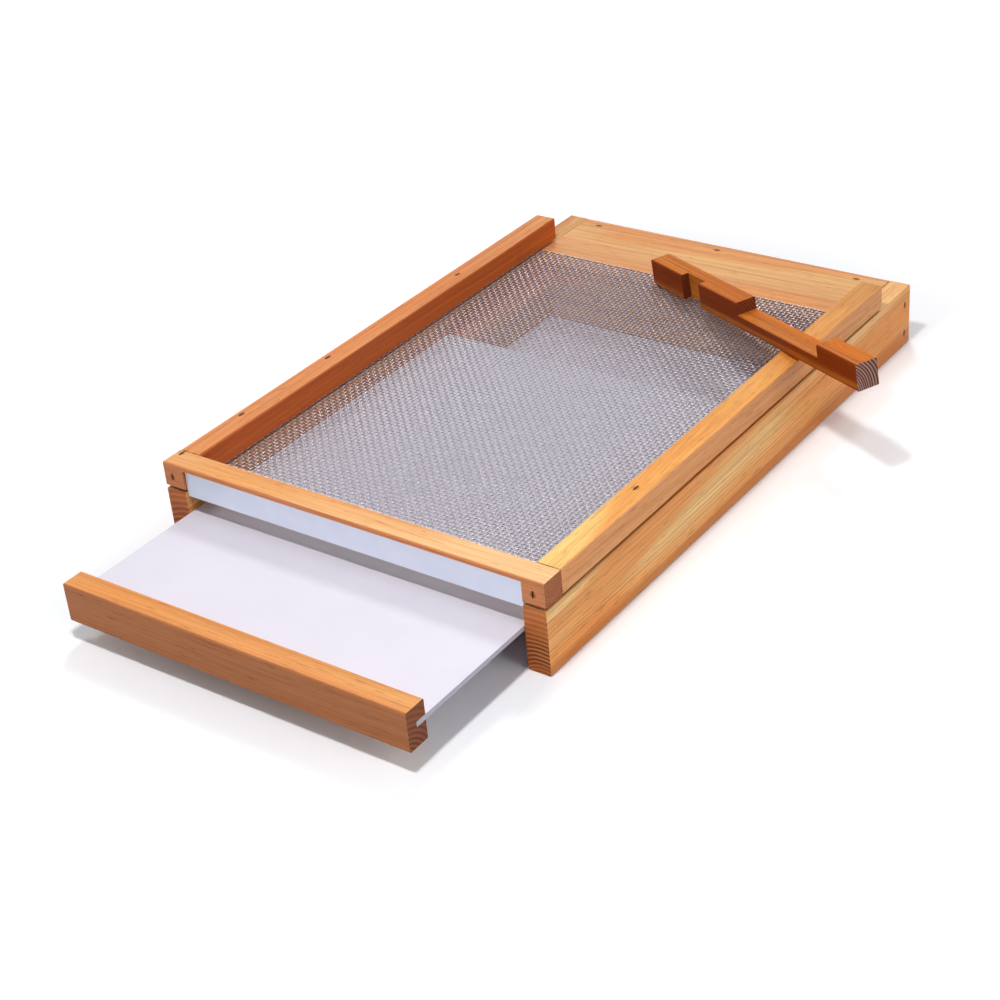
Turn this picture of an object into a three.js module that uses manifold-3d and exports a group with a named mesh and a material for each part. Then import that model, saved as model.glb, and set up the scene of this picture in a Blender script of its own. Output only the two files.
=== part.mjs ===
// Screened bottom board of an eight-frame beehive: a pine frame with a wire screen, raised rails for the
// hive body, a landing board, a slide-out tray under the screen and a loose entrance reducer.
// Millimetres, +Z up, +Y towards the entrance. The origin is under the middle of the entrance rail.
import * as THREE from 'three';
import { mergeVertices } from 'three/addons/utils/BufferGeometryUtils.js';
import Module from 'manifold-3d';

const wasm = await Module();
wasm.setup();

// Driving dimensions of the frame
const boardWidth = 349.25;
const boardLength = 558.8;
const stock = 19.05;
const sideHeight = 53.9;
const landingDepth = 79.25;
const railWidth = 19.8;
const railHeight = 20.5;
const railSetback = 55;
const backRailWidth = 20.6;
const edgeEase = 0.7;
const jointGap = 0.2;

// Driving dimensions of the screen: its sheet is two wires thick, and the net stands for a finer weave
const wireDiameter = 0.8;
const screenInset = 6.3;
const gapsAcross = 14;
const gapsAlong = 21;

// Driving dimensions of the tray and of the strips that it slides on
const runnerWidth = 19.05;
const runnerHeight = 31.75;
const runnerStart = 26;
const slideGap = 0.4;
const traySideGap = 0.75;
const traySheetLength = 454;
const traySheetThickness = 4;
const trayStopGap = 0.5;
const trayPullOut = 127.3;
const handleDepth = 19.05;
const handleHeight = 32;
const handleUnderside = 17.2;
const handleEndGap = 0.6;
const handleSlotDepth = 9.5;
const handleSlotGap = 0.2;

// Driving dimensions of the metal strip and of its recess in the back rail
const recessDepth = 3;
const recessLip = 3.6;
const stripThickness = 0.8;
const stripEndGap = 0.8;
const stripSeatGap = 0.2;
const stripDrop = 5.3;
const stripHemDepth = 1.6;
const stripHemHeight = 1.2;

// Driving dimensions of the entrance reducer and of where it lies
const reducerLength = 311.3;
const reducerDepth = 19.05;
const reducerHeight = 22.2;
const smallGateStart = 51.8;
const smallGateWidth = 28.8;
const smallGateDepth = 7.5;
const wideGateStart = 140.2;
const wideGateWidth = 118.4;
const wideGateDepth = 11;
const reducerFromSide = 152;
const reducerFromLanding = 17.3;
const reducerBackset = 150.45;
const restGap = 0.3;

// Driving dimensions of the narrow-crown staples, sunk below the wood
const stapleCrown = 6.2;
const stapleWire = 1.2;
const stapleLeg = 31.75;
const staplePoint = 0.8;
const stapleSunk = 1;
const stapleFit = 0.2;
const stapleClearance = 1.9;
const overrun = 2;

// Levels and lines that the pieces share
const clearWidth = boardWidth - 2 * stock;
const entranceFace = stock / 2;
const backFace = entranceFace - boardLength;
const outerSide = boardWidth / 2;
const innerSide = clearWidth / 2;
const landingInner = entranceFace - landingDepth;
const crossFar = landingInner - jointGap;
const crossNear = crossFar - stock;
const screenBottom = sideHeight + jointGap;
const screenThickness = 2 * wireDiameter;
const screenTop = screenBottom + screenThickness;
const railBottom = screenTop + jointGap;
const railTop = railBottom + railHeight;
const railNear = backFace + backRailWidth + jointGap;
const railFar = entranceFace - railSetback;
const railLength = railFar - railNear;

const pine = { color: 0xdc9a58, roughness: 0.55, metalness: 0 };
const darkPine = { color: 0xb5652f, roughness: 0.55, metalness: 0 };
const plastic = { color: 0xe9e7f2, roughness: 0.5, metalness: 0 };
const zinc = { color: 0xd3dae6, roughness: 0.35, metalness: 0.8 };
const wire = { color: 0xb4b3bd, roughness: 0.4, metalness: 0.8 };
const steel = { color: 0x4b3b33, roughness: 0.5, metalness: 0.7 };

const board = new THREE.Group();
const frame = new THREE.Group();
const tray = new THREE.Group();
const reducer = new THREE.Group();
board.add(frame, tray, reducer);

// A closed geometry as a solid that can be cut
function solidOf(geometry) {
  const plain = geometry.clone();
  plain.deleteAttribute('normal');
  plain.deleteAttribute('uv');
  const merged = mergeVertices(plain);
  return new wasm.Manifold(new wasm.Mesh({
    numProp: 3,
    vertProperties: new Float32Array(merged.attributes.position.array),
    triVerts: new Uint32Array(merged.index.array),
  }));
}

// A cut solid back as a geometry
function geometryOf(solid) {
  const mesh = solid.getMesh();
  const geometry = new THREE.BufferGeometry();
  geometry.setAttribute('position', new THREE.BufferAttribute(new Float32Array(mesh.vertProperties), 3));
  geometry.setIndex(new THREE.BufferAttribute(new Uint32Array(mesh.triVerts), 1));
  geometry.computeVertexNormals();
  return geometry;
}

// A name, a geometry in the piece's own place, the place and any cutters in the part's frame
function addPiece(group, name, geometry, place, finish, cutters = []) {
  let shape = geometry;
  if (cutters.length > 0) {
    let solid = solidOf(geometry);
    for (const cutter of cutters) {
      solid = solid.subtract(solidOf(cutter.clone().translate(-place.x, -place.y, -place.z)));
    }
    shape = geometryOf(solid);
  }
  const mesh = new THREE.Mesh(shape, new THREE.MeshStandardMaterial(finish));
  mesh.name = name;
  mesh.position.copy(place);
  group.add(mesh);
  return mesh;
}

// A rectangle with its four corners planed off
function easedSection(wide, high, ease) {
  const x = wide / 2;
  const section = new THREE.Shape();
  section.moveTo(ease - x, 0);
  section.lineTo(x - ease, 0);
  section.lineTo(x, ease);
  section.lineTo(x, high - ease);
  section.lineTo(x - ease, high);
  section.lineTo(ease - x, high);
  section.lineTo(-x, high - ease);
  section.lineTo(-x, ease);
  section.closePath();
  return section;
}

// A planed stick that runs along Y, its origin at the middle of its underside
function stickAlongY(wide, long, high) {
  const section = easedSection(wide, high, edgeEase);
  const stick = new THREE.ExtrudeGeometry(section, { depth: long, bevelEnabled: false });
  return stick.rotateX(Math.PI / 2).translate(0, long / 2, 0);
}

// A planed stick that runs along X, its origin at the middle of its underside
function stickAlongX(long, deep, high) {
  return stickAlongY(deep, long, high).rotateZ(Math.PI / 2);
}

// A plain block between two corners, for cutting
function blockBetween(low, high) {
  const size = high.clone().sub(low);
  const middle = low.clone().add(high).divideScalar(2);
  return new THREE.BoxGeometry(size.x, size.y, size.z).translate(middle.x, middle.y, middle.z);
}

// Staples: crown along local X, legs down local Z, the top of the crown at local zero
function stapleOutline(grow, rise) {
  const outer = stapleCrown / 2 + grow;
  const inner = stapleCrown / 2 - stapleWire - grow;
  const foot = -stapleLeg - grow;
  const outline = new THREE.Shape();
  outline.moveTo(-outer, rise);
  outline.lineTo(-outer, foot + staplePoint);
  outline.lineTo(-inner, foot);
  outline.lineTo(-inner, -stapleWire - grow);
  outline.lineTo(inner, -stapleWire - grow);
  outline.lineTo(inner, foot);
  outline.lineTo(outer, foot + staplePoint);
  outline.lineTo(outer, rise);
  outline.closePath();
  return outline;
}

function stapleSolid(grow, rise) {
  const thick = stapleWire + 2 * grow;
  const bent = new THREE.ExtrudeGeometry(stapleOutline(grow, rise), { depth: thick, bevelEnabled: false });
  return bent.translate(0, 0, -thick / 2).rotateX(Math.PI / 2);
}

// Where staples are driven: the middle of the crown on the surface, the way in and the crown's direction
const down = new THREE.Vector3(0, 0, -1);
const forward = new THREE.Vector3(0, 1, 0);
const toRight = new THREE.Vector3(1, 0, 0);
const toLeft = new THREE.Vector3(-1, 0, 0);
const upright = new THREE.Vector3(0, 0, 1);
const staples = [];

function drive(name, surface, way, crown) {
  staples.push({ name, surface, way, crown });
}

// Share of the rail's length from its near end, share of its width from the outer side
const leftRailShares = [[0.132, 0.27], [0.353, 0.28], [0.717, 0.46]];
const rightRailShares = [[0.234, 0.56], [0.717, 0.46]];
leftRailShares.forEach(([along, across], i) => {
  const place = new THREE.Vector3(-outerSide + across * railWidth, railNear + along * railLength, railTop);
  drive(`staple_rail_left_${i + 1}`, place, down, forward);
});
rightRailShares.forEach(([along, across], i) => {
  const place = new THREE.Vector3(outerSide - across * railWidth, railNear + along * railLength, railTop);
  drive(`staple_rail_right_${i + 1}`, place, down, forward);
});

// The landing board's first staple clears the legs that come in through the side board, and the others
// have a share of the board's length from its left end
const legsReach = stapleSunk + stapleLeg - stock;
const landingShares = [0.467, 0.913];
const landingSteps = landingShares.map((share) => share * clearWidth);
[legsReach + stapleClearance + stapleCrown / 2, ...landingSteps].forEach((along, i) => {
  const place = new THREE.Vector3(-innerSide + along, entranceFace - stock / 2, sideHeight);
  drive(`staple_landing_${i + 1}`, place, down, toRight);
});

// Share of the side board's height
const sideShares = [0.22, 0.72];
sideShares.forEach((up, i) => {
  const left = new THREE.Vector3(-outerSide, entranceFace - stock / 2, up * sideHeight);
  const right = new THREE.Vector3(outerSide, entranceFace - stock / 2, up * sideHeight);
  drive(`staple_side_left_${i + 1}`, left, toRight, upright);
  drive(`staple_side_right_${i + 1}`, right, toLeft, upright);
});

// Shares of the back rail's end blocks: through the front into the side rails, and one down from the top
const blockShares = { left: 0.4, right: 0.5, up: 0.43, topAcross: 0.25, topAlong: 0.8 };
const blockLevel = railBottom + blockShares.up * railHeight;
drive('staple_back_left', new THREE.Vector3(-outerSide + blockShares.left * railWidth, backFace, blockLevel),
  forward, upright);
drive('staple_back_right', new THREE.Vector3(outerSide - blockShares.right * railWidth, backFace, blockLevel),
  forward, upright);
drive('staple_back_top', new THREE.Vector3(-outerSide + blockShares.topAcross * stock,
  backFace + blockShares.topAlong * backRailWidth, railTop), down, forward);

// The turn that lays a staple's crown and legs along their directions
function stapleTurn({ way, crown }) {
  const up = way.clone().negate();
  const side = new THREE.Vector3().crossVectors(up, crown);
  return new THREE.Matrix4().makeBasis(crown, side, up);
}

const slots = staples.map((staple) => {
  const slot = stapleSolid(stapleFit, stapleSunk + overrun);
  const seat = staple.surface.clone().addScaledVector(staple.way, stapleSunk);
  return slot.applyMatrix4(stapleTurn(staple).setPosition(seat));
});

for (const staple of staples) {
  const seat = staple.surface.clone().addScaledVector(staple.way, stapleSunk);
  const mesh = addPiece(frame, staple.name, stapleSolid(0, 0), seat, steel);
  mesh.quaternion.setFromRotationMatrix(stapleTurn(staple));
}

// The slots that reach into a piece, so that the others leave it alone
function slotsIn(geometry, place) {
  geometry.computeBoundingBox();
  const room = geometry.boundingBox.clone().translate(place);
  return slots.filter((slot) => {
    slot.computeBoundingBox();
    return slot.boundingBox.intersectsBox(room);
  });
}

function addTimber(name, geometry, place, cutters = []) {
  return addPiece(frame, name, geometry, place, pine, [...cutters, ...slotsIn(geometry, place)]);
}

// Side boards, full length, on edge
const sideMiddle = (entranceFace + backFace) / 2;
for (const [side, name] of [[-1, 'side_board_left'], [1, 'side_board_right']]) {
  const place = new THREE.Vector3(side * (outerSide - stock / 2), sideMiddle, 0);
  addTimber(name, stickAlongY(stock, boardLength, sideHeight), place);
}

// Entrance rail under the landing board, and the landing board on it, between the side boards
const betweenSides = clearWidth - 2 * jointGap;
const entranceRailHeight = sideHeight - stock - jointGap;
addTimber('entrance_rail', stickAlongX(betweenSides, stock, entranceRailHeight), new THREE.Vector3(0, 0, 0));
addTimber('landing_board', stickAlongX(betweenSides, landingDepth, stock),
  new THREE.Vector3(0, entranceFace - landingDepth / 2, sideHeight - stock));

// Cross rail that carries the screen's far edge and stops the tray
addTimber('cross_rail', stickAlongX(betweenSides, stock, sideHeight),
  new THREE.Vector3(0, (crossFar + crossNear) / 2, 0));

// Strips along the side boards that the tray slides on
const runnerNear = backFace + runnerStart;
const runnerFar = crossNear - jointGap;
for (const [side, name] of [[-1, 'tray_runner_left'], [1, 'tray_runner_right']]) {
  const middle = side * (innerSide - jointGap - runnerWidth / 2);
  addTimber(name, stickAlongY(runnerWidth, runnerFar - runnerNear, runnerHeight),
    new THREE.Vector3(middle, (runnerNear + runnerFar) / 2, 0));
}

// Wire screen, laid over the side boards and the cross rail and held under the raised rails
const netWidth = boardWidth - 2 * screenInset;
const netNear = backFace + screenInset;
const netLength = crossFar - netNear;
const pitchAcross = (netWidth - wireDiameter) / gapsAcross;
const pitchAlong = (netLength - wireDiameter) / gapsAlong;

// The two edges of every wire across a run of gaps
function wireEdges(gaps, pitch) {
  return Array.from({ length: gaps + 1 }, (_, i) => [i * pitch, i * pitch + wireDiameter]).flat();
}

// Crossed wires as one body: a grid whose cells are solid wherever a wire passes
function crossedWires(xs, ys, thick) {
  const points = [];
  const faces = [];
  for (const z of [0, thick]) for (const y of ys) for (const x of xs) points.push(x, y, z);
  const columns = xs.length;
  const layer = columns * ys.length;
  const corner = (i, j, level) => level * layer + j * columns + i;
  const inNet = (i, j) => i >= 0 && j >= 0 && i < columns - 1 && j < ys.length - 1;
  const isWire = (i, j) => inNet(i, j) && (i % 2 === 0 || j % 2 === 0);
  const quad = (a, b, c, d) => faces.push(a, b, c, a, c, d);
  for (let i = 0; i < columns - 1; i += 1) {
    for (let j = 0; j < ys.length - 1; j += 1) {
      if (!isWire(i, j)) continue;
      quad(corner(i, j, 1), corner(i + 1, j, 1), corner(i + 1, j + 1, 1), corner(i, j + 1, 1));
      quad(corner(i, j + 1, 0), corner(i + 1, j + 1, 0), corner(i + 1, j, 0), corner(i, j, 0));
      if (!isWire(i, j - 1)) quad(corner(i, j, 0), corner(i + 1, j, 0), corner(i + 1, j, 1), corner(i, j, 1));
      if (!isWire(i + 1, j)) {
        quad(corner(i + 1, j, 0), corner(i + 1, j + 1, 0), corner(i + 1, j + 1, 1), corner(i + 1, j, 1));
      }
      if (!isWire(i, j + 1)) {
        quad(corner(i + 1, j + 1, 0), corner(i, j + 1, 0), corner(i, j + 1, 1), corner(i + 1, j + 1, 1));
      }
      if (!isWire(i - 1, j)) quad(corner(i, j + 1, 0), corner(i, j, 0), corner(i, j, 1), corner(i, j + 1, 1));
    }
  }
  const geometry = new THREE.BufferGeometry();
  geometry.setAttribute('position', new THREE.Float32BufferAttribute(points, 3));
  geometry.setIndex(faces);
  geometry.computeVertexNormals();
  return geometry.translate(-netWidth / 2, 0, 0);
}

const netGeometry = crossedWires(
  wireEdges(gapsAcross, pitchAcross), wireEdges(gapsAlong, pitchAlong), screenThickness);
addPiece(frame, 'screen', netGeometry, new THREE.Vector3(0, netNear, screenBottom), wire);

// Raised rails along the sides, which stop short of the entrance end
for (const [side, name] of [[-1, 'raised_rail_left'], [1, 'raised_rail_right']]) {
  const place = new THREE.Vector3(side * (outerSide - railWidth / 2), (railNear + railFar) / 2, railBottom);
  addTimber(name, stickAlongY(railWidth, railLength, railHeight), place);
}

// Back rail across the full width, with a recess between its end blocks for the metal strip
const recess = blockBetween(
  new THREE.Vector3(-innerSide, backFace - overrun, railBottom - overrun),
  new THREE.Vector3(innerSide, backFace + recessDepth, railTop - recessLip));
addTimber('back_rail', stickAlongX(boardWidth, backRailWidth, railHeight),
  new THREE.Vector3(0, backFace + backRailWidth / 2, railBottom), [recess]);

// Galvanised strip, flat in the recess, its lower edge hemmed back under the rail
const stripFront = backFace + recessDepth - stripSeatGap - stripThickness;
const stripTop = railTop - recessLip - stripSeatGap;
const stripBottom = railBottom - stripDrop;
const stripLength = clearWidth - 2 * stripEndGap;
const stripSection = new THREE.Shape();
stripSection.moveTo(0, 0);
stripSection.lineTo(stripThickness + stripHemDepth, 0);
stripSection.lineTo(stripThickness + stripHemDepth, stripHemHeight);
stripSection.lineTo(stripThickness, stripHemHeight);
stripSection.lineTo(stripThickness, stripTop - stripBottom);
stripSection.lineTo(0, stripTop - stripBottom);
stripSection.closePath();
const strip = new THREE.ExtrudeGeometry(stripSection, { depth: stripLength, bevelEnabled: false });
strip.rotateX(Math.PI / 2).rotateZ(Math.PI / 2).translate(-stripLength / 2, 0, 0);
addPiece(frame, 'metal_strip', strip, new THREE.Vector3(0, stripFront, stripBottom), zinc);

// Tray: a plastic sheet whose near edge sits in the slot of a wooden handle, drawn out as photographed
const trayWidth = clearWidth - 2 * traySideGap;
const trayFar = crossNear - trayStopGap - trayPullOut;
const trayNear = trayFar - traySheetLength;
const sheetBottom = runnerHeight + slideGap;
const handleBack = trayNear + handleSlotDepth - handleSlotGap;
const handleMiddle = handleBack - handleDepth / 2;
const sheet = new THREE.BoxGeometry(trayWidth, traySheetLength, traySheetThickness);
sheet.translate(0, 0, traySheetThickness / 2);
addPiece(tray, 'tray_sheet', sheet, new THREE.Vector3(0, (trayNear + trayFar) / 2, sheetBottom), plastic);

const handleLength = clearWidth - 2 * handleEndGap;
const handleSlot = blockBetween(
  new THREE.Vector3(-handleLength / 2 - overrun, handleBack - handleSlotDepth, sheetBottom - handleSlotGap),
  new THREE.Vector3(handleLength / 2 + overrun, handleBack + overrun,
    sheetBottom + traySheetThickness + handleSlotGap));
addPiece(tray, 'tray_handle', stickAlongX(handleLength, handleDepth, handleHeight),
  new THREE.Vector3(0, handleMiddle, handleUnderside), darkPine, [handleSlot]);

// Entrance reducer: a stick with a small gate in its front face and a wide gate in its top
const reducerStick = stickAlongX(reducerLength, reducerDepth, reducerHeight);
reducerStick.translate(reducerLength / 2, reducerDepth / 2, 0);
const smallGate = blockBetween(
  new THREE.Vector3(smallGateStart, -overrun, -overrun),
  new THREE.Vector3(smallGateStart + smallGateWidth, smallGateDepth, reducerHeight + overrun));
const wideGate = blockBetween(
  new THREE.Vector3(wideGateStart, -overrun, reducerHeight - wideGateDepth),
  new THREE.Vector3(wideGateStart + wideGateWidth, reducerDepth + overrun, reducerHeight + overrun));
const reducerCorner = new THREE.Vector3(0, 0, 0);
addPiece(reducer, 'entrance_reducer', reducerStick, reducerCorner, darkPine, [smallGate, wideGate]);

// It lies askew, its right end nearer the back by its backset, and leans with its left end on the screen
// and its underside on the inner edge of the right raised rail
const reducerTurn = Math.asin(reducerBackset / reducerLength);
const leanRun = boardWidth - railWidth - reducerFromSide;
const lean = Math.atan2(railTop - screenTop, leanRun);
const leanUp = new THREE.Vector3(-Math.sin(lean), 0, Math.cos(lean));
const leanAlong = new THREE.Vector3(Math.cos(reducerTurn), -Math.sin(reducerTurn),
  Math.cos(reducerTurn) * Math.tan(lean)).normalize();
const leanAcross = new THREE.Vector3().crossVectors(leanUp, leanAlong);
reducer.quaternion.setFromRotationMatrix(new THREE.Matrix4().makeBasis(leanAlong, leanAcross, leanUp));
reducer.position.set(-outerSide + reducerFromSide, landingInner - reducerFromLanding, screenTop);
reducer.position.addScaledVector(leanUp, restGap);

export default board;
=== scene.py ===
import math

import bpy
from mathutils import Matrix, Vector


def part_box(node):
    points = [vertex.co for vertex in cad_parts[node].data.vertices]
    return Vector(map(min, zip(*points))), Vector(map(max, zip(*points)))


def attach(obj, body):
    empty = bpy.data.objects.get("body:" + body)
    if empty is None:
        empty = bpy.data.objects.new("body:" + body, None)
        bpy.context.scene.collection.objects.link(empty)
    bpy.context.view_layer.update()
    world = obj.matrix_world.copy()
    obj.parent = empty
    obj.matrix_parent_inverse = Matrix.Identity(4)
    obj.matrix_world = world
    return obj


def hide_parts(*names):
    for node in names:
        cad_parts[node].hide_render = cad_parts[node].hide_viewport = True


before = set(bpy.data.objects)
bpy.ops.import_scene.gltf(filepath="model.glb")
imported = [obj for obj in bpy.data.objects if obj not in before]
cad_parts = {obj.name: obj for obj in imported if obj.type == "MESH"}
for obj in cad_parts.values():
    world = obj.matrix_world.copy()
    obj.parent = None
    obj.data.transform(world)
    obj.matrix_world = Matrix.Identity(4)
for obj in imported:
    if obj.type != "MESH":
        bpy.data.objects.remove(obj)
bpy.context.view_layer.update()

scene = bpy.context.scene


# The studio: the board lies on a plain pale floor, inside a white surround that lights it from all round.
# Three lamps add the rest: a small one over the tray's end, a wide one at the right, and a high one beyond
# the entrance, to its left, which makes the wires glint. The camera stands beyond the tray's handle.
class Value:
    """A number, colour or vector in a material, which Python's arithmetic works on as on a number."""

    def __init__(self, recipe, socket):
        self.recipe, self.socket = recipe, socket

    def math(self, operation, *others):
        made = self.recipe.node("ShaderNodeMath", {"operation": operation}, dict(enumerate((self, *others))))
        return made(0)

    def __add__(self, other):
        return self.math("ADD", other)

    def __sub__(self, other):
        return self.math("SUBTRACT", other)

    def __mul__(self, other):
        return self.math("MULTIPLY", other)

    def __rsub__(self, other):
        return (self * -1) + other

    __radd__, __rmul__ = __add__, __mul__

    def step(self, low, high):
        """0 below low and 1 above high, smooth between them; high may be the lower one."""
        made = self.recipe.node("ShaderNodeMapRange", {"interpolation_type": "SMOOTHSTEP"},
                                {"Value": self, "From Min": low, "From Max": high})
        return made(0)

    def evenly(self, low, high, at_low, at_high):
        """From one range of numbers to another in a straight line, and no further."""
        made = self.recipe.node("ShaderNodeMapRange", {}, {"Value": self, "From Min": low, "From Max": high,
                                                           "To Min": at_low, "To Max": at_high})
        return made(0)


class Recipe:
    """One material or world, and the nodes that mix it."""

    def __init__(self, name, kept_in=bpy.data.materials):
        self.made = kept_in.new(name)
        self.made.use_nodes = True
        self.tree = self.made.node_tree
        self.tree.nodes.clear()

    def node(self, kind, settings=None, sockets=None):
        """A node with its settings and its sockets' values or links, to be called with one of its outputs."""
        made = self.tree.nodes.new(kind)
        for name, value in (settings or {}).items():
            setattr(made, name, value)
        for name, value in (sockets or {}).items():
            if isinstance(value, Value):
                self.tree.links.new(value.socket, made.inputs[name])
            else:
                made.inputs[name].default_value = value
        return lambda output=0: Value(self, made.outputs[output])

    def spot(self):
        """Where a point of the piece lies, in metres."""
        return self.node("ShaderNodeTexCoord")("Object")

    def split(self, vector):
        """The three parts of a vector, to be called with 0, 1 or 2."""
        return self.node("ShaderNodeSeparateXYZ", {}, {0: vector})

    def vector(self, operation, first, second, output=0):
        return self.node("ShaderNodeVectorMath", {"operation": operation}, {0: first, 1: second})(output)

    def noise(self, place, scale, detail=2.0):
        return self.node("ShaderNodeTexNoise", {}, {"Vector": place, "Scale": scale, "Detail": detail})()

    def bump(self, height, strength, distance):
        """Fine relief, for the surface's Normal."""
        made = self.node("ShaderNodeBump", {}, {"Strength": strength, "Distance": distance, "Height": height})
        return made()

    def blend(self, share, first, second, mode="MIX"):
        """From the first colour to the second, by share."""
        made = self.node("ShaderNodeMix", {"data_type": "RGBA", "blend_type": mode},
                         {0: share, 6: first, 7: second})
        return made(2)

    def finish(self, **sockets):
        """The surface itself, with its sockets named as on the shader, underscores for blanks."""
        named = {name.replace("_", " "): value for name, value in sockets.items()}
        surface = self.node("ShaderNodeBsdfPrincipled", {}, named)
        self.node("ShaderNodeOutputMaterial", {}, {"Surface": surface()})
        return self.made


def paint(red, green, blue):
    """A colour as a screen shows it, from 0 to 255, turned into the light that it sends back."""
    return (*(pow((c / 255 + 0.055) / 1.055, 2.4) if c > 10 else c / 3295 for c in (red, green, blue)), 1)


def dim(colour, share):
    """A screen colour with each of its numbers made smaller."""
    return paint(*[c * share for c in colour])


def mesh_object(name, points, faces):
    mesh = bpy.data.meshes.new(name)
    mesh.from_pydata(points, [], faces)
    made = bpy.data.objects.new(name, mesh)
    scene.collection.objects.link(made)
    return made


# Under the board the floor is painted a little darker and lavender, as painted shade. To the camera it also
# glows, soonest along the board's right side and more and more outwards, so that it ends in white and keeps
# its shadows only near the board.
floor_recipe = Recipe("studio_floor")
to_camera = floor_recipe.node("ShaderNodeLightPath")("Is Camera Ray")
floor_spot = floor_recipe.spot()
floor_way = floor_recipe.split(floor_spot)
outward = floor_recipe.vector("DISTANCE", floor_spot, (0, -0.3, 0), "Value")
sideways = floor_way(0).math("ABSOLUTE")
lengthways = (floor_way(1) + 0.27).math("ABSOLUTE")
painted_shade_under_board = sideways.step(0.172, 0.16) * lengthways.step(0.28, 0.27)
# Painted shade: to the camera the floor under the board is painted a darker lavender grey.
floor_colour = floor_recipe.blend(painted_shade_under_board, paint(250, 251, 254), paint(226, 221, 232))
floor_colour = floor_recipe.blend(to_camera, paint(208, 208, 212), floor_colour)
beside = sideways.step(0.17, 0.31).math("MAXIMUM", outward.step(0.3, 0.65))
beside = beside.math("MAXIMUM", floor_way(0).step(0.174, 0.196) * 0.5)
far_off = beside * 0.35 + outward.step(0.8, 2.4) * 0.65
floor_glow = floor_recipe.blend(to_camera * far_off, paint(0, 0, 0), paint(255, 255, 255))
floor_material = floor_recipe.finish(Base_Color=floor_colour, Roughness=1.0, Specular_IOR_Level=0.0,
                                     Emission_Color=floor_glow, Emission_Strength=1.0)
floor_reach, floor_level = 6, -0.0003
floor = mesh_object("floor", [(x * floor_reach, y * floor_reach, floor_level)
                              for x, y in ((-1, -1), (1, -1), (1, 1), (-1, 1))], [(0, 1, 2, 3)])
floor.data.materials.append(floor_material)

# The surround is brighter beyond the entrance than on the camera's side, and darker above than at the
# horizon, so that upright faces keep their light. What looks or mirrors straight into it finds plain white.
sky = Recipe("surround", bpy.data.worlds)
scene.world = sky.made
sky_way = sky.split(sky.node("ShaderNodeTexCoord")("Generated"))
strength = sky_way(1).evenly(-1, 1, 0.5, 0.68) * sky_way(2).evenly(0, 1, 1.1, 0.25)
fill = sky.node("ShaderNodeBackground", {}, {"Color": (0.94, 0.96, 1, 1), "Strength": strength})
white = sky.node("ShaderNodeBackground", {}, {"Color": (1, 1, 1, 1)})
rays = sky.node("ShaderNodeLightPath")
direct = rays("Is Camera Ray").math("MAXIMUM", rays("Is Glossy Ray"))
surround = sky.node("ShaderNodeMixShader", {}, {0: direct, 1: fill(), 2: white()})
sky.node("ShaderNodeOutputWorld", {}, {"Surface": surround()})

for lamp_name, place, aim, size, power in (
        ("lamp_over", (0.15, -0.85, 1.35), (0, -0.35, 0), 0.13, 10.3),
        ("lamp_right", (2.3, -0.6, 1.0), (0, -0.3, 0.05), 1.3, 16),
        ("lamp_behind", (-1.28, 1.58, 3.3), (0, -0.3, 0.05), 0.8, 40)):
    lamp_data = bpy.data.lights.new(lamp_name, "AREA")
    lamp_data.size, lamp_data.energy = size, power
    lamp = bpy.data.objects.new(lamp_name, lamp_data)
    lamp.location = place
    lamp.rotation_euler = (Vector(aim) - Vector(place)).to_track_quat("-Z", "Y").to_euler()
    scene.collection.objects.link(lamp)

camera_data = bpy.data.cameras.new("camera")
camera_data.lens, camera_data.sensor_width = 72.82, 36
camera_data.clip_start, camera_data.clip_end = 0.05, 40
camera = bpy.data.objects.new("camera", camera_data)
camera.location = (0.845144, -1.446842, 0.827167)
camera.rotation_euler = [math.radians(turn) for turn in (58.55758, 4.58381, 35.17669)]
scene.collection.objects.link(camera)
scene.camera = camera
scene.view_settings.view_transform = "Standard"


# Side boards: full length pine on edge, planed, then dipped in hot wax, which turns it honey-coloured.
# Each was sawn from its own part of a log, so the same rings show as lines on its faces and as arcs
# on its ends, round the heart of the tree, which lies below each of them.
AXES = {"x": (0, math.radians(90), 0), "y": (math.radians(-90), 0, 0)}


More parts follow.
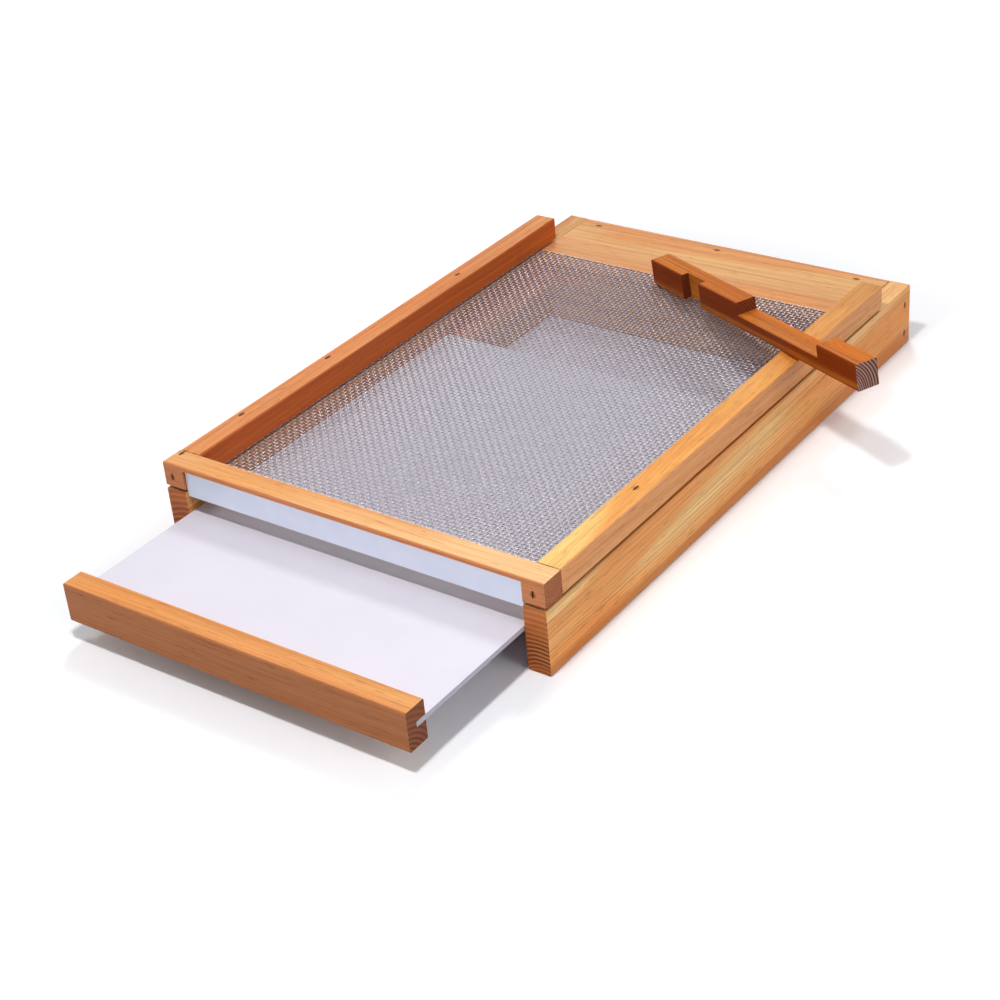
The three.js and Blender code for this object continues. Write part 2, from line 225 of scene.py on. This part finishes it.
def sawn_pine(name, heart, run, tilt=(0, 0), ring=3.6, pale=(232, 178, 108), late=(190, 112, 48),
              blush=(214, 150, 104), glow=(240, 158, 72), glows=0.75, heartwood_and_shade_colour=(176, 92, 44), heartwood_and_shade_side=None,
              end=((232, 140, 80), (96, 42, 22)), cuts=None, wander=0.008, bold=0.8, knots=(), marks=(),
              darker_below=0.0, joint=None, darker=None, shine=(0.3, 0.05), drift=0.0):
    """Waxed pine. heart is a point on the tree's middle line, run the way that line goes, and tilt a small
    turn of it, in degrees. ring is the millimetres of a year's growth, 30 mm from the heart, and wander how
    far the rings stray. The ground goes from pale to blush, with patches of glow, whose strength is glows.
    The rings are drawn in late, as strongly as bold says, and end holds the end grain's two colours.
    heartwood_and_shade_side is a direction, and how far along it a face must lie to take the colour core:
    heartwood colour, and painted shade on that face. darker is a direction, the places along it between which
    the wood turns darker, and to which colour; where it follows the light's falloff, it is painted shade.
    cuts is a direction, the place along it below which end grain is a waxed saw cut, and its two colours.
    knots are places, sizes and pulls on the rings round them. Round each of the marks, and at the joint,
    given by its height and where it stops, the wax has soaked in and darkened the wood. Below the height of
    stain, the wood is darker towards the bottom. shine is how much light the wood and its wax throw back, and
    drift a number that sets one board's figure apart from another's."""
    wood = Recipe(name)
    spot = wood.spot()
    turn = AXES[run] if isinstance(run, str) else run
    turn = (turn[0] + math.radians(tilt[0]), turn[1], turn[2] + math.radians(tilt[1]))
    log = wood.node("ShaderNodeMapping", {"vector_type": "TEXTURE"},
                    {"Vector": spot, "Location": heart, "Rotation": turn})()

    def grown(across, along, detail=2.0, shift=0.0):
        """Noise drawn out along the grain, by how many lumps it has to a metre across and along. Another
        shift gives another noise."""
        drawn = wood.vector("MULTIPLY", log, (across, across, along))
        drawn = wood.vector("ADD", drawn, (shift + drift, drift, shift))
        return wood.noise(drawn, 1.0, detail) - 0.5

    def chance(number, shift):
        """A number from 0 to 1 that is each year's own."""
        made = wood.node("ShaderNodeTexWhiteNoise", {"noise_dimensions": "1D"}, {"W": number + shift})
        return made("Value")

    def reach(way):
        """How far a point of the wood lies along a direction."""
        return wood.vector("DOT_PRODUCT", spot, way, "Value")

    # How far a point lies from the heart, had the tree grown evenly and without knots
    from_heart, place_of = wood.split(log), wood.split(spot)
    fine_wander, knot_reach = 0.0026, 3.2
    radius = (from_heart(0) * from_heart(0) + from_heart(1) * from_heart(1)).math("SQRT")
    bent = radius + grown(9, 1.6) * wander * 2 + grown(45, 5, 3.0, 7.0) * fine_wander
    for place, size, pull in knots:
        away = wood.vector("DISTANCE", spot, place, "Value")
        bent = bent + away.step(size * knot_reach, 0) * (size * pull)
    soaked = None
    mark_size = 0.0038
    for place in marks:
        spread = wood.vector("DISTANCE", spot, place, "Value").step(mark_size, mark_size * 0.25)
        soaked = spread if soaked is None else soaked.math("MAXIMUM", spread)

    # Rings grow narrower outwards: at 30 mm, where 11 is twice the root, a year is as wide as ring says.
    # Late wood darkens through the year, in some years more than in others, and ends sharply.
    years = (bent * 1000).math("MAXIMUM", 0.1).math("POWER", 0.5) * (11.0 / ring)
    share = years.math("FRACT")
    year = chance(years.math("FLOOR"), drift)
    strong = chance(years.math("FLOOR"), drift + 41.5)
    late_wood = share.math("POWER", year * 3 + 1.2) * share.step(1.0, 0.88) * (strong * 0.8 + 0.2)

    # Which way the face looks, seen from the log: end grain, or a bevelled edge along the board
    normal = wood.node("ShaderNodeNewGeometry")("True Normal")
    faces = wood.node("ShaderNodeMapping", {"vector_type": "TEXTURE"}, {"Vector": normal, "Rotation": turn})()
    facing = wood.split(faces)
    is_end = facing(2).math("ABSOLUTE").step(0.6, 0.85)
    is_edge = (facing(0) * facing(1)).math("ABSOLUTE").step(0.22, 0.42) * (1 - is_end)

    # The figure that isn't rings, and then the colour, one layer over the other
    fibre = grown(700, 14, 3.0, 3.0)
    streak = grown(150, 2.2, 3.0, 11.0)
    cloud = grown(15, 2.0, 2.0, 23.0)
    vein = grown(380, 1.8, 2.0, 63.0).step(0.1, 0.3)
    lens = grown(24, 3.4, 1.0, 51.0).step(0.02, 0.16)
    pores = grown(1000, 60, 1.0, 31.0).step(0.13, 0.23)

    tone = (cloud * 2.8 + streak * 2.0 + (year - 0.5) * 0.6 + 0.45).step(0.0, 1.0)
    colour = wood.blend(tone, paint(*pale), paint(*blush))
    colour = wood.blend(lens * glows, colour, paint(*glow))
    # Painted shade where it follows the light's falloff: the wood turns darker between two places along a
    # direction.
    if darker:
        way, first, last, turned = darker
        colour = wood.blend((reach(way) + cloud * 0.1).step(first, last) * 0.7, colour, paint(*turned))
    # Painted shade in part: faces past the given place along the given direction take a darker, redder
    # heartwood colour.
    if heartwood_and_shade_side:
        way, start = heartwood_and_shade_side
        soft = 0.0006
        in_heartwood_and_shade = (reach(way) + streak * 0.003).step(start - soft, start + soft)
        colour = wood.blend(in_heartwood_and_shade, colour, wood.blend(cloud + 0.5, paint(*heartwood_and_shade_colour), dim(heartwood_and_shade_colour, 0.9)))
    colour = wood.blend(late_wood * bold, colour, paint(*late))
    colour = wood.blend((streak * -1).step(0.03, 0.26) * 0.4, colour, paint(*late))
    colour = wood.blend(vein * 0.5, colour, dim(late, 0.86))
    ring_line = share.step(0.3, 0.62) * share.step(1.0, 0.95) * (strong * 0.35 + 0.65)
    ring_line = ring_line * (bent.step(0.064, 0.03) * 0.7 + 0.3)
    speckle = wood.noise(spot, 2600.0, 1.0) - 0.5
    end_colour = wood.blend(ring_line, paint(*end[0]), paint(*end[1]))
    if cuts:
        way, last, cut_pale, cut_dark = cuts
        sawn_off = wood.blend(ring_line, paint(*cut_pale), paint(*cut_dark))
        end_colour = wood.blend(reach(way).step(last - 0.001, last), sawn_off, end_colour)
    uneven = (fibre * 0.7 + streak * 0.3) * (1 - is_end) + (speckle * 0.7 + cloud * 1.2) * is_end
    depth = wood.node("ShaderNodeVectorMath", {"operation": "SCALE"},
                      {0: (0.8, 1.15, 1.5), "Scale": uneven})()
    depth = wood.vector("ADD", depth, (1, 1, 1))
    colour = wood.blend(1.0, wood.blend(is_end, colour, end_colour), depth, "MULTIPLY")
    colour = wood.blend(pores * (1 - is_end) * 0.4, colour, dim(late, 0.55))
    colour = wood.blend(is_edge * 0.3, colour, dim(late, 0.9))
    # Darker towards the bottom, below the given height.
    if darker_below:
        foot = place_of(2) + streak * 0.02
        colour = wood.blend(foot.step(darker_below, darker_below * 0.25) * 0.5, colour, dim(late, 0.92))
    if joint:
        height, last = joint
        seam = (place_of(2) - height).math("ABSOLUTE").step(0.0004, 0.0001)
        seam = seam * place_of(1).step(last, last - 0.0005)
        colour = wood.blend(seam * 0.4, colour, paint(110, 60, 30))
    if soaked:
        colour = wood.blend(soaked * 0.7, colour, paint(92, 46, 22))

    gloss = wood.noise(spot, 38.0, 3.0)
    rough = 0.38 + gloss * 0.22 + is_end * 0.16 - late_wood * 0.05 + pores * 0.1
    relief = late_wood * 0.5 + fibre * 0.9 - pores * 0.6 + speckle * is_end * 0.8
    wood_shine, wax_shine = shine
    return wood.finish(Base_Color=colour, Roughness=rough, Normal=wood.bump(relief, 0.4, 0.00025),
                       Specular_IOR_Level=wood_shine, Coat_Weight=wax_shine, Coat_Roughness=0.3)


def dress(node, material):
    """A finish on a solid of the frame."""
    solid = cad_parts[node]
    solid.data.materials.clear()
    solid.data.materials.append(material)


def crown_of(staple, axis, end):
    """The middle of a staple's crown, which is its low (0) or high (1) end along an axis."""
    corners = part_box(staple)
    place = (corners[0] + corners[1]) / 2
    place[axis] = corners[end][axis]
    return tuple(place)


dress("side_board_right", sawn_pine(
    "pine_side_right", heart=(0.166, -0.27, -0.018), run="y", tilt=(0.7, 0.3), ring=3.0, wander=0.012,
    pale=(252, 212, 140), late=(196, 100, 34), blush=(242, 182, 116), glow=(236, 146, 66), bold=0.7,
    # Darker and more orange towards the bottom.
    end=((240, 146, 80), (32, 6, 2)), darker_below=0.016, darker=((0, 0, -1), -0.05, -0.028, (242, 148, 62)),
    joint=(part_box("side_board_right")[1].z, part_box("raised_rail_right")[1].y),
    marks=[crown_of(f"staple_side_right_{i}", 0, 1) for i in (1, 2)]))
dress("side_board_left", sawn_pine(
    "pine_side_left", heart=(-0.15, -0.27, -0.012), run="y", tilt=(0.8, -0.4), ring=3.4, drift=40.0,
    pale=(224, 168, 102), late=(178, 96, 40), blush=(204, 140, 82), glow=(222, 138, 68),
    end=((212, 120, 64), (36, 8, 2)), darker_below=0.014,
    joint=(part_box("side_board_left")[1].z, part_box("raised_rail_left")[1].y),
    marks=[crown_of(f"staple_side_left_{i}", 0, 0) for i in (1, 2)]))


# Entrance rail and landing board: the board that bees alight on, flat between the side boards and
# nailed down onto the rail under its outer edge. Both are the same waxed pine, with the grain across.
dress("entrance_rail", sawn_pine("pine_entrance_rail", heart=(0, 0.03, -0.02), run="x", drift=5.0))
dress("landing_board", sawn_pine(
    "pine_landing", heart=(0, 0.016, 0.02), run="x", tilt=(0, 1.6), ring=4.4, wander=0.014, drift=11.0,
    pale=(232, 178, 112), late=(200, 116, 52), blush=(220, 148, 94), glow=(226, 146, 76), bold=0.7,
    marks=[crown_of(f"staple_landing_{i}", 2, 1) for i in (1, 2, 3)]))


# Cross rail: stands on edge between the side boards behind the landing board, where the screen ends.
# Its face towards the tray has a dark knot left of the middle.
dress("cross_rail", sawn_pine(
    "pine_cross_rail", heart=(0, -0.12, -0.03), run="x", drift=17.0,
    pale=(220, 164, 108), late=(170, 102, 56), blush=(200, 138, 88),
    knots=(((-0.083, -0.089, 0.028), 0.007, 1.4),), marks=((-0.083, -0.0895, 0.028),)))


# Tray runners: two strips of the same pine, nailed low inside the side boards. The tray slides on their
# tops, with its edges between the boards.
for side, name in ((-1, "tray_runner_left"), (1, "tray_runner_right")):
    runner_pine = sawn_pine(f"pine_{name}", heart=(side * 0.12, -0.3, -0.02), run="y", drift=23.0 + side)
    dress(name, runner_pine)


# Screen: woven galvanised wire, over one and under the next, with about four millimetres from wire to
# wire. It is cut a little short of the frame's edges and held flat between the boards and the rails.
wire_thick = 0.0008
wires_across, wires_along = 87, 121
bends_per_crossing, wire_sides = 4, 4
net_low, net_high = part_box("screen")
pitch_across = (net_high.x - net_low.x - wire_thick) / (wires_across - 1)
pitch_along = (net_high.y - net_low.y - wire_thick) / (wires_along - 1)


def wire_tree():
    """Builds one direction of the weave: straight wires in a row, each pressed into waves by the others."""
    tree = bpy.data.node_groups.new("woven_wires", "GeometryNodeTree")
    tree.interface.new_socket("Geometry", in_out="OUTPUT", socket_type="NodeSocketGeometry")
    for name, kind in (("Wires", "NodeSocketInt"), ("Wire Spacing", "NodeSocketFloat"),
                       ("Crossings", "NodeSocketInt"), ("Crossing Spacing", "NodeSocketFloat"),
                       ("Spare End", "NodeSocketFloat"), ("Thickness", "NodeSocketFloat"),
                       ("First Wave", "NodeSocketFloat"), ("Turn", "NodeSocketFloat"),
                       ("Middle", "NodeSocketVector"), ("Finish", "NodeSocketMaterial")):
        tree.interface.new_socket(name, in_out="INPUT", socket_type=kind)

    def add(kind, settings=None, sockets=None):
        made = tree.nodes.new(kind)
        for name, value in (settings or {}).items():
            setattr(made, name, value)
        for name, value in (sockets or {}).items():
            if isinstance(value, bpy.types.NodeSocket):
                tree.links.new(value, made.inputs[name])
            else:
                made.inputs[name].default_value = value
        return made.outputs

    def number(operation, first, second=0.0):
        return add("ShaderNodeMath", {"operation": operation}, {0: first, 1: second})[0]

    given = add("NodeGroupInput")
    half_run = number("MULTIPLY", number("SUBTRACT", given["Crossings"], 1.0), given["Crossing Spacing"])
    half_run = number("MULTIPLY", half_run, 0.5)
    reach = number("ADD", half_run, given["Spare End"])
    near = add("ShaderNodeCombineXYZ", {}, {"Y": number("MULTIPLY", reach, -1.0)})[0]
    far = add("ShaderNodeCombineXYZ", {}, {"Y": reach})[0]
    straight = add("GeometryNodeCurvePrimitiveLine", {}, {"Start": near, "End": far})[0]
    bends = number("ADD", number("MULTIPLY", given["Crossings"], bends_per_crossing), 1.0)
    straight = add("GeometryNodeResampleCurve", {}, {"Curve": straight, "Count": bends})[0]
    half_row = number("MULTIPLY", number("SUBTRACT", given["Wires"], 1.0), given["Wire Spacing"])
    first = add("ShaderNodeCombineXYZ", {}, {"X": number("MULTIPLY", half_row, -0.5)})[0]
    gap = add("ShaderNodeCombineXYZ", {}, {"X": given["Wire Spacing"]})[0]
    row = add("GeometryNodeMeshLine", {"mode": "OFFSET"},
              {"Count": given["Wires"], "Start Location": first, "Offset": gap})[0]
    wires = add("GeometryNodeInstanceOnPoints", {}, {"Points": row, "Instance": straight})[0]
    wires = add("GeometryNodeRealizeInstances", {}, {"Geometry": wires})[0]
    here = add("ShaderNodeSeparateXYZ", {}, {0: add("GeometryNodeInputPosition")[0]})
    wave = 1.0
    for place, half, spacing in ((here[0], number("MULTIPLY", half_row, 0.5), given["Wire Spacing"]),
                                 (here[1], half_run, given["Crossing Spacing"])):
        turns = number("DIVIDE", number("ADD", place, half), spacing)
        wave = number("MULTIPLY", number("COSINE", number("MULTIPLY", turns, math.pi)), wave)
    rise = number("MULTIPLY", number("MULTIPLY", wave, given["First Wave"]),
                  number("MULTIPLY", given["Thickness"], 0.5))
    wires = add("GeometryNodeSetPosition", {}, {"Geometry": wires,
                "Offset": add("ShaderNodeCombineXYZ", {}, {"Z": rise})[0]})[0]
    round_wire = add("GeometryNodeCurvePrimitiveCircle", {"mode": "RADIUS"}, {"Resolution": wire_sides,
                     "Radius": number("MULTIPLY", given["Thickness"], 0.5)})[0]
    mesh = add("GeometryNodeCurveToMesh", {},
               {"Curve": wires, "Profile Curve": round_wire, "Fill Caps": True})[0]
    mesh = add("GeometryNodeSetShadeSmooth", {}, {"Geometry": mesh})[0]
    mesh = add("GeometryNodeTransform", {}, {"Geometry": mesh, "Translation": given["Middle"],
               "Rotation": add("ShaderNodeCombineXYZ", {}, {"Z": given["Turn"]})[0]})[0]
    mesh = add("GeometryNodeRealizeInstances", {}, {"Geometry": mesh})[0]
    mesh = add("GeometryNodeSetMaterial", {}, {"Geometry": mesh, "Material": given["Finish"]})[0]
    tree.links.new(mesh, tree.nodes.new("NodeGroupOutput").inputs[0])
    return tree


def grow(name, tree, **inputs):
    """Runs a tree of geometry nodes once, and keeps what it makes as a plain mesh."""
    seed = mesh_object(name + "_seed", [(0, 0, 0)], [])
    modifier = seed.modifiers.new("nodes", "NODES")
    modifier.node_group = tree
    for socket in tree.interface.items_tree:
        if socket.in_out == "INPUT":
            modifier[socket.identifier] = inputs[socket.name.replace(" ", "_").lower()]
    seed.update_tag()
    shaped = seed.evaluated_get(bpy.context.evaluated_depsgraph_get())
    made = bpy.data.objects.new(name, bpy.data.meshes.new_from_object(shaped))
    scene.collection.objects.link(made)
    bpy.data.objects.remove(seed)
    return made


# Zinc blooms in patches. The wires' tops, where one lies over another, are painted near white, a painted
# highlight, and the rest of each wire is a darker grey, partly the zinc's own colour and partly painted
# shade.
wire_recipe = Recipe("galvanised_wire")
wire_spot = wire_recipe.spot()
zinc_bloom = wire_recipe.noise(wire_spot, 420.0, 3.0)
# Painted highlight: the highest part of each wire is painted near white.
painted_top_highlight = wire_recipe.split(wire_spot)(2).step(net_low.z + wire_thick * 1.05, net_high.z)
wire_colour = wire_recipe.blend(zinc_bloom.step(0.35, 0.65), paint(120, 112, 114), paint(148, 140, 144))
wire_colour = wire_recipe.blend(painted_top_highlight, wire_colour, paint(236, 230, 244))
wire_finish = wire_recipe.finish(Base_Color=wire_colour, Metallic=0.6, Roughness=0.24 + zinc_bloom * 0.12)

# Each direction comes in two halves. Both second halves start with an even wire, so the waves go on.
left_wires, near_wires = 44, 60
weave_tree = wire_tree()
net_middle = (net_low + net_high) / 2
first_along = net_low + Vector((wire_thick, wire_thick, 0)) / 2
for name, turn, first_wave, first, wires, spacing, crossings, crossing_spacing in (
        ("screen_wires_left", 0.0, 1.0, 0, left_wires, pitch_across, wires_along, pitch_along),
        ("screen_wires_right", 0.0, 1.0, left_wires, wires_across - left_wires, pitch_across,
         wires_along, pitch_along),
        ("screen_wires_near", math.pi / 2, -1.0, 0, near_wires, pitch_along, wires_across, pitch_across),
        ("screen_wires_far", math.pi / 2, -1.0, near_wires, wires_along - near_wires, pitch_along,
         wires_across, pitch_across)):
    row_middle = net_middle.copy()
    row_axis = 1 if turn else 0
    row_middle[row_axis] = first_along[row_axis] + (first + (wires - 1) / 2) * spacing
    wires_made = grow(name, weave_tree, wires=wires, wire_spacing=spacing, crossings=crossings,
                      crossing_spacing=crossing_spacing, spare_end=wire_thick / 2, thickness=wire_thick,
                      first_wave=first_wave, turn=turn, middle=tuple(row_middle), finish=wire_finish)
    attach(wires_made, "frame")
    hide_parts("screen")


# Raised rails: two strips on the side boards that the hive body stands on. They hold the screen down
# and stop short of the entrance end. The right one's outer face is painted redder than its top, and the left
# one's face towards the screen a dark reddish brown: heartwood colour, and painted shade on those faces.
dress("raised_rail_right", sawn_pine(
    "pine_rail_right", heart=(0.160, -0.28, 0.050), run="y", tilt=(-2.2, 0.9), ring=7.5, wander=0.03,
    pale=(240, 198, 112), late=(218, 130, 46), blush=(232, 168, 90), glow=(230, 148, 58), glows=0.85,
    bold=0.85, heartwood_and_shade_colour=(238, 166, 104), heartwood_and_shade_side=((1, 0, 0), 0.1736), drift=61.0,
    # Painted shade: the rail is painted darker towards its far end, where the light falls off.
    joint=(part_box("raised_rail_right")[0].z, 1.0), darker=((0, 1, 0), -0.2, 0.0, (186, 130, 66)),
    knots=(((0.162, -0.083, 0.0764), 0.008, 1.6), ((0.164, -0.2, 0.0764), 0.006, 1.4)),
    marks=[crown_of(f"staple_rail_right_{i}", 2, 1) for i in (1, 2)]))
dress("raised_rail_left", sawn_pine(
    "pine_rail_left", heart=(-0.140, -0.28, 0.05), run="y", ring=4.6, drift=71.0,
    pale=(232, 154, 84), late=(196, 104, 46), blush=(216, 134, 70), glow=(222, 130, 56), bold=0.75,
    heartwood_and_shade_colour=(186, 84, 16), heartwood_and_shade_side=((1, 0, 0), -0.1562),
    marks=[crown_of(f"staple_rail_left_{i}", 2, 1) for i in (1, 2, 3)]))


# Back rail: across the full width, over the side boards' ends, with a shallow recess along its front
# between two end blocks. It was sawn close to the heart of the tree, which shows on its right end.
dress("back_rail", sawn_pine(
    "pine_back_rail", heart=(0, -0.541, 0.071), run="x", tilt=(0, 0.4), ring=2.0, wander=0.004, drift=83.0,
    pale=(240, 192, 134), late=(212, 130, 60), blush=(228, 162, 96), glow=(232, 158, 82), bold=0.75,
    # Its front face is painted redder than its top: heartwood colour, and painted shade.
    heartwood_and_shade_colour=(232, 146, 92), heartwood_and_shade_side=((0, -1, 0), 0.5482), end=((212, 130, 80), (96, 44, 24)),
    marks=[crown_of("staple_back_left", 1, 0), crown_of("staple_back_right", 1, 0),
           crown_of("staple_back_top", 2, 1)]))


# Metal strip: bright galvanised sheet in the back rail's recess, hemmed back along its lower edge. It
# covers the joint over the tray. Rolling has left faint lines along it.
strip_recipe = Recipe("bright_zinc")
strip_spot = strip_recipe.spot()
roll_lines = strip_recipe.noise(strip_recipe.vector("MULTIPLY", strip_spot, (9, 900, 900)), 1.0, 4.0)
strip_bloom = strip_recipe.noise(strip_spot, 60.0)
strip_colour = strip_recipe.blend(strip_bloom.step(0.2, 0.8), paint(230, 239, 253), paint(236, 244, 255))
strip_finish = strip_recipe.finish(Base_Color=strip_colour, Metallic=0.7, Roughness=0.3 + roll_lines * 0.2,
                                   Normal=strip_recipe.bump(roll_lines, 0.08, 0.0001))
dress("metal_strip", strip_finish)


# Staples: narrow ones of steel wire, which hold the boards and rails together. They are shot in until
# their crowns lie a millimetre below the wood's face, and the wax has dulled them.
staple_recipe = Recipe("staple_wire")
tarnish = staple_recipe.noise(staple_recipe.spot(), 900.0, 3.0)
staple_colour = staple_recipe.blend(tarnish, paint(58, 40, 30), paint(112, 92, 78))
staple_finish = staple_recipe.finish(Base_Color=staple_colour, Metallic=0.6, Roughness=0.4 + tarnish * 0.3)
for name in sorted(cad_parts):
    if name.startswith("staple_"):
        dress(name, staple_finish)


# Tray sheet: white plastic with a faint lavender tint and sawn grey edges. It is let into its handle's
# slot and slides on the runners to catch what falls through the screen.
tray_recipe = Recipe("tray_plastic")
tray_spot = tray_recipe.spot()
skin = tray_recipe.noise(tray_spot, 1400.0)
haze = tray_recipe.noise(tray_spot, 14.0, 3.0)
tray_facing = tray_recipe.split(tray_recipe.node("ShaderNodeNewGeometry")("True Normal"))
sawn = 1 - tray_facing(2).math("ABSOLUTE").step(0.4, 0.6)
tray_colour = tray_recipe.blend(haze.step(0.3, 0.7), paint(222, 218, 229), paint(226, 222, 233))
tray_colour = tray_recipe.blend(sawn, tray_colour, paint(186, 184, 196))
tray_finish = tray_recipe.finish(Base_Color=tray_colour, Roughness=0.42 + skin * 0.16,
                                 Normal=tray_recipe.bump(skin, 0.1, 0.0001))
dress("tray_sheet", tray_finish)


# Tray handle: a stick of redder pine across the tray's near end, with a slot along its inner face.
dress("tray_handle", sawn_pine(
    "pine_handle", heart=(0, -0.69, 0.0), run="x", tilt=(0.4, 0), ring=3.8, drift=91.0,
    pale=(226, 158, 82), late=(196, 112, 48), blush=(222, 144, 78), glow=(228, 144, 66), bold=0.65,
    # Its front face is painted darker and redder: heartwood colour, and painted shade.
    heartwood_and_shade_colour=(210, 131, 76), heartwood_and_shade_side=((0, -1, 0), 0.6795), end=((140, 76, 38), (92, 44, 22))))


# Entrance reducer: a loose stick that narrows the entrance, with a small gate in one face and a wide
# one in another. It lies askew on the screen and on the right raised rail, its front painted dark
# reddish brown, as heartwood colour and as painted shade.
reducer_low, reducer_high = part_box("entrance_reducer")
reducer_middle = (reducer_low + reducer_high) / 2
reducer_turn, reducer_climb = math.radians(28.9), 0.1057
reducer_way = Vector((math.cos(reducer_turn), -math.sin(reducer_turn), reducer_climb)).normalized()
reducer_front = Vector((-math.sin(reducer_turn), -math.cos(reducer_turn), 0))
front_reach = max(reducer_front.dot(v.co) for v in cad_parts["entrance_reducer"].data.vertices)
dark_skin = 0.0012
last_cut = reducer_way.dot(reducer_middle) + 0.1
dress("entrance_reducer", sawn_pine(
    "pine_reducer", heart=tuple(reducer_middle + Vector((-0.012, -0.02, -0.012))),
    run=tuple(reducer_way.to_track_quat("Z", "X").to_euler()), ring=2.4, drift=103.0,
    pale=(212, 128, 48), late=(146, 62, 12), blush=(192, 100, 28), glow=(216, 114, 22), bold=0.75,
    heartwood_and_shade_colour=(140, 54, 2), heartwood_and_shade_side=(tuple(reducer_front), front_reach - dark_skin),
    end=((92, 50, 38), (176, 140, 130)), cuts=(tuple(reducer_way), last_cut, (122, 56, 28), (84, 36, 18)),
    shine=(0.08, 0.0)))
